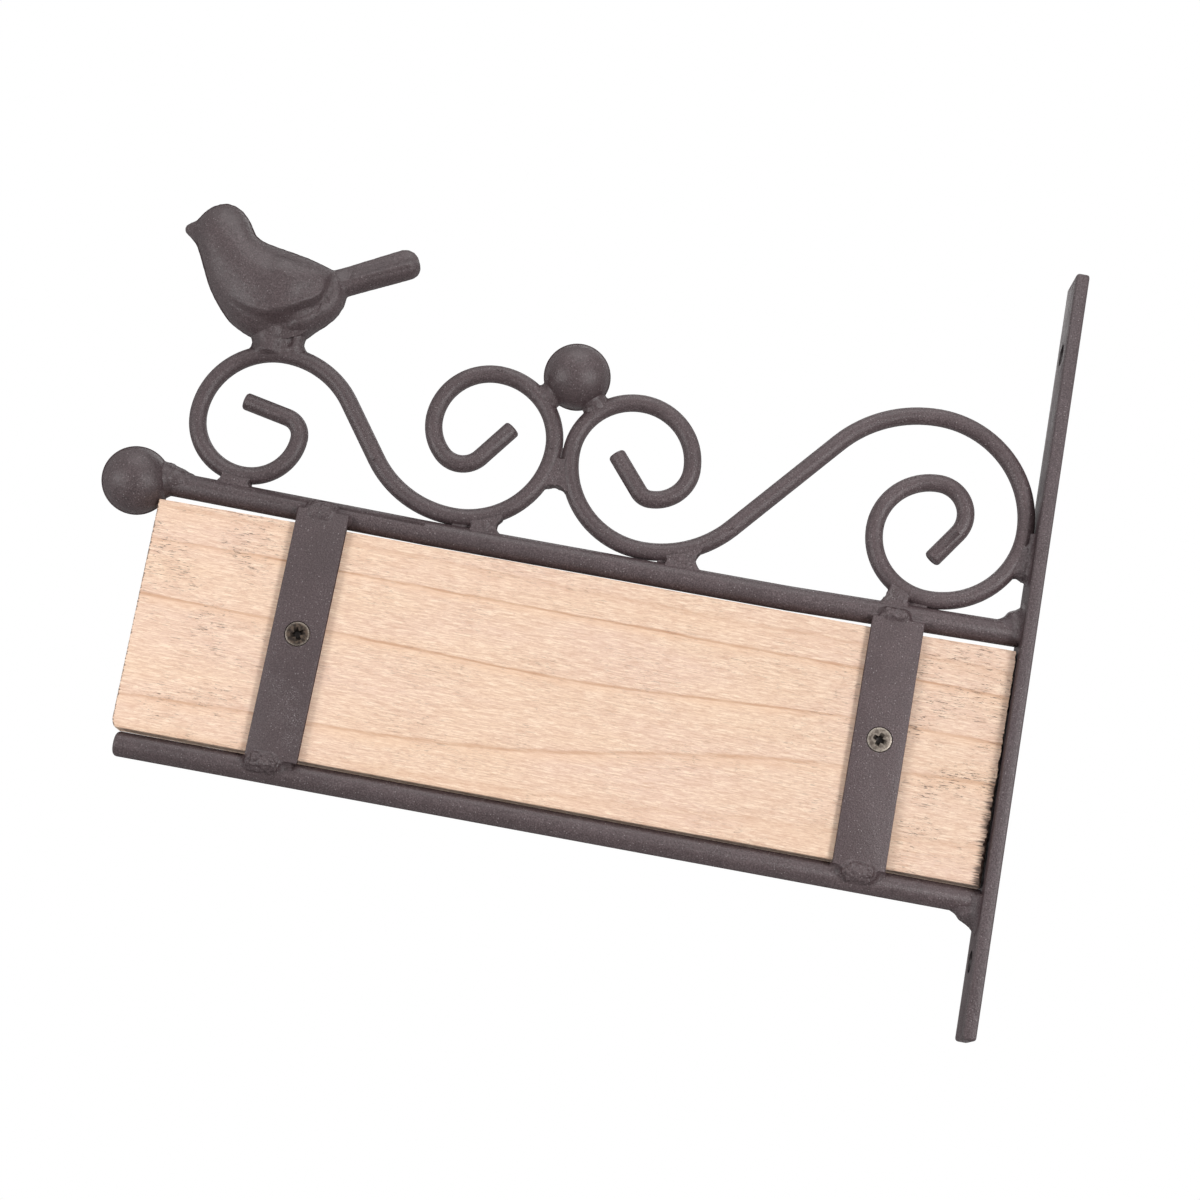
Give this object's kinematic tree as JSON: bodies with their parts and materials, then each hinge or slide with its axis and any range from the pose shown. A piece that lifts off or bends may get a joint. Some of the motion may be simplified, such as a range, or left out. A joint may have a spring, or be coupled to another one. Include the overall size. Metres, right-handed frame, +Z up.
{
  "type": "bracket sign",
  "caption": "Small wall bracket sign: a bare wooden plank between two round rails under bent scroll rods with a bird and two balls.",
  "frame": {"origin": "middle between the two wall screw holes, on the wall bar's outer face", "axes": "+X out of the sign into the wall, so the sign reaches along -X; +Z up; the straps and screw heads face -Y"},
  "size_m": [0.2774, 0.023, 0.229],
  "materials": {
    "powder_coat": "matt dark brown-grey powder coat with a fine speckle",
    "bare_pine": "bare sawn softwood with fine lengthwise grain",
    "screw_brass": "dull antique brass"
  },
  "bodies": {
    "root": {"wall_bar": "powder_coat", "top_rail": "powder_coat", "bottom_rail": "powder_coat", "bird_scroll": "powder_coat", "wall_scroll": "powder_coat", "end_ball": "powder_coat", "centre_ball": "powder_coat", "bird": "powder_coat", "bird_peg": "powder_coat", "outer_strap": "powder_coat", "inner_strap": "powder_coat", "plank": "bare_pine", "outer_screw": "screw_brass", "inner_screw": "screw_brass", "end_ball_weld": "powder_coat", "bird_peg_weld": "powder_coat", "bird_curl_weld": "powder_coat", "bird_foot_weld": "powder_coat", "wall_foot_weld": "powder_coat", "wall_curl_weld": "powder_coat", "scroll_joint_weld": "powder_coat", "centre_ball_welds": "powder_coat", "scroll_bar_weld": "powder_coat", "top_rail_bar_weld": "powder_coat", "bottom_rail_bar_weld": "powder_coat", "outer_strap_top_weld": "powder_coat", "outer_strap_foot_weld": "powder_coat", "inner_strap_top_weld": "powder_coat", "inner_strap_foot_weld": "powder_coat"}
  },
  "joints": []
}
